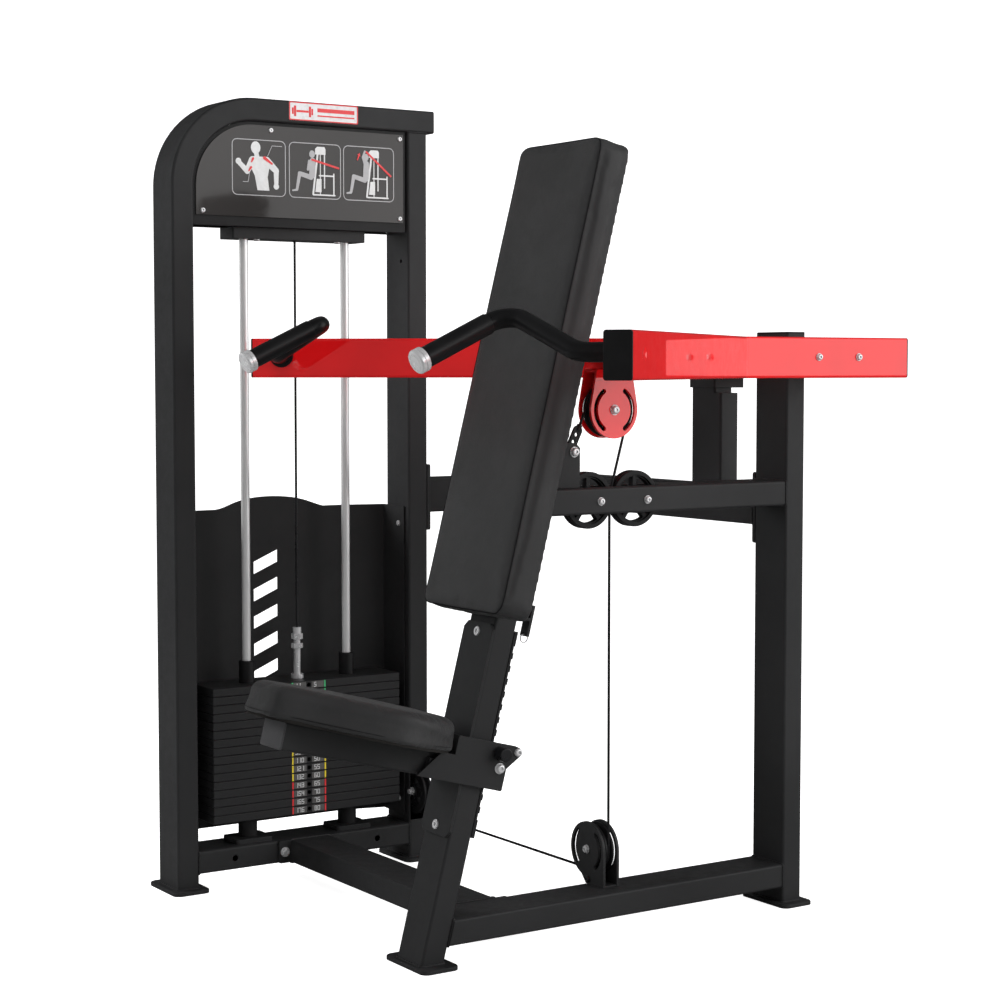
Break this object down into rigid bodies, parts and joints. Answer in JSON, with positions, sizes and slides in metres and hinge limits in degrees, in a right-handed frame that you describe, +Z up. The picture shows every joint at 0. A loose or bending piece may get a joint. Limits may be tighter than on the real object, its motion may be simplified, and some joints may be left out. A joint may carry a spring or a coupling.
{
  "type": "shoulder press machine",
  "caption": "Seated shoulder press machine: swinging forked arm with handles, reclined back pad, sliding seat and a cable-driven weight stack in a side tower.",
  "frame": {"origin": "on the floor at the front face of the seat post, in the centre plane of the seat and press arm", "axes": "+Z up, +Y backwards (the seated user faces -Y), +X to the seated user's left; the weight tower is on -X"},
  "size_m": [1.5455, 1.4391, 1.7175],
  "materials": {
    "frame_coat": "satin",
    "arm_coat": "gloss",
    "cast_block": "satin",
    "chrome": "polished",
    "zinc": "satin",
    "black_plastic": "satin",
    "glide_strip": "satin",
    "placard": "gloss",
    "cable": "gloss",
    "strap": "satin",
    "rubber": "matte",
    "plates": "satin",
    "upholstery": "satin",
    "board": "matte",
    "turned_aluminium": "satin"
  },
  "bodies": {
    "frame": {"tower_hoop": "frame_coat", "tower_rear_upright": "frame_coat", "tower_base_beam": "frame_coat", "foot_plates": "frame_coat", "cover_panels": "frame_coat", "instruction_placard": "placard", "rod_top_bracket": "frame_coat", "guide_rods": "chrome", "stack_bumpers": "rubber", "stack_guard": "frame_coat", "lower_weight_plates": "plates", "cross_beam": "frame_coat", "main_base_beam": "frame_coat", "rear_post": "frame_coat", "seat_post": "frame_coat", "mid_beam": "frame_coat", "link_beam": "frame_coat", "short_post": "frame_coat", "pivot_shaft": "chrome", "pillow_block": "cast_block", "frame_end_caps": "black_plastic", "pulley_axles": "zinc", "base_pulley_bracket": "frame_coat", "cable_fixed_run": "cable", "cable_stack_run": "cable", "cable_rear_run": "cable", "cable_front_run": "cable", "cable_anchor_strap": "strap", "seat_rack": "strap", "seat_glide_strip": "glide_strip", "back_pad": "upholstery", "back_board": "board", "hook_bracket": "frame_coat", "hook_ring": "zinc", "frame_fasteners": "zinc"},
    "press_arm_body": {"press_arm": "arm_coat", "arm_end_caps": "black_plastic", "pivot_bearings": "cast_block", "arm_bolts": "zinc", "press_handles": "strap", "handle_grips": "rubber", "grip_end_caps": "turned_aluminium", "cable_arm_wrap": "cable"},
    "arm_pulley_body": {"arm_pulley": "black_plastic"},
    "front_idler_body": {"front_idler_pulley": "black_plastic"},
    "rear_idler_body": {"rear_idler_pulley": "black_plastic"},
    "base_pulley_body": {"base_pulley": "black_plastic"},
    "tower_pulley_body": {"tower_pulley": "black_plastic"},
    "top_rear_pulley_body": {"top_rear_pulley": "black_plastic"},
    "top_front_pulley_body": {"top_front_pulley": "black_plastic"},
    "stack": {"lifted_weight_plates": "plates", "selector_stem": "zinc", "guide_bushings": "black_plastic"},
    "pin": {"selector_pin": "black_plastic"},
    "seat": {"seat_carriage": "frame_coat", "seat_beam_cap": "black_plastic", "seat_pad": "upholstery", "seat_board": "board", "carriage_bolts": "zinc"},
    "latch": {"seat_latch": "black_plastic"}
  },
  "joints": [
    {"name": "arm_press", "type": "hinge", "parent": "frame", "child": "press_arm_body", "pos_m": [0, 0.917, 1.157], "axis": [-1, 0, 0], "range_deg": [0, 38], "deforming": ["cable_rear_run", "cable_front_run"]},
    {"name": "arm_pulley_turn", "type": "hinge", "parent": "press_arm_body", "child": "arm_pulley_body", "pos_m": [0, 0.467, 1.052], "axis": [1, 0, 0], "range_deg": [0, 380]},
    {"name": "front_idler_turn", "type": "hinge", "parent": "frame", "child": "front_idler_body", "pos_m": [0, 0.41425, 0.8735], "axis": [1, 0, 0], "range_deg": [0, 600]},
    {"name": "rear_idler_turn", "type": "hinge", "parent": "frame", "child": "rear_idler_body", "pos_m": [0, 0.52875, 0.8735], "axis": [-1, 0, 0], "range_deg": [0, 600]},
    {"name": "base_pulley_turn", "type": "hinge", "parent": "frame", "child": "base_pulley_body", "pos_m": [-0.046, 0.4715, 0.16], "axis": [0, -1, 0], "range_deg": [0, 750]},
    {"name": "tower_pulley_turn", "type": "hinge", "parent": "frame", "child": "tower_pulley_body", "pos_m": [-0.746, 0.4715, 0.16], "axis": [0, -1, 0], "range_deg": [0, 750]},
    {"name": "top_rear_pulley_turn", "type": "hinge", "parent": "frame", "child": "top_rear_pulley_body", "pos_m": [-0.792, 0.4255, 1.56], "axis": [-1, 0, 0], "range_deg": [0, 750]},
    {"name": "top_front_pulley_turn", "type": "hinge", "parent": "frame", "child": "top_front_pulley_body", "pos_m": [-0.792, 0.2325, 1.56], "axis": [-1, 0, 0], "range_deg": [0, 750]},
    {"name": "stack_lift", "type": "slide", "parent": "frame", "child": "stack", "axis": [0, 0, 1], "range_m": [0, 0.6], "deforming": ["cable_stack_run"]},
    {"name": "pin_pull", "type": "slide", "parent": "stack", "child": "pin", "axis": [1, 0, 0], "range_m": [0, 0.075]},
    {"name": "seat_height", "type": "slide", "parent": "frame", "child": "seat", "axis": [0, 0.2517, 0.9678], "range_m": [-0.075, 0.175]},
    {"name": "latch_turn", "type": "hinge", "parent": "seat", "child": "latch", "pos_m": [0, 0.17039, 0.37106], "axis": [1, 0, 0], "range_deg": [0, 5.8]}
  ],
  "couplings": [
    {"joint": "stack_lift", "follows": "arm_press", "m_per_rad": 0.9},
    {"joint": "arm_pulley_turn", "follows": "arm_press", "ratio": 9.8235},
    {"joint": "front_idler_turn", "follows": "arm_press", "ratio": 15.72},
    {"joint": "rear_idler_turn", "follows": "arm_press", "ratio": 15.72},
    {"joint": "base_pulley_turn", "follows": "arm_press", "ratio": 19.565},
    {"joint": "tower_pulley_turn", "follows": "arm_press", "ratio": 19.565},
    {"joint": "top_rear_pulley_turn", "follows": "arm_press", "ratio": 19.565},
    {"joint": "top_front_pulley_turn", "follows": "arm_press", "ratio": 19.565}
  ]
}
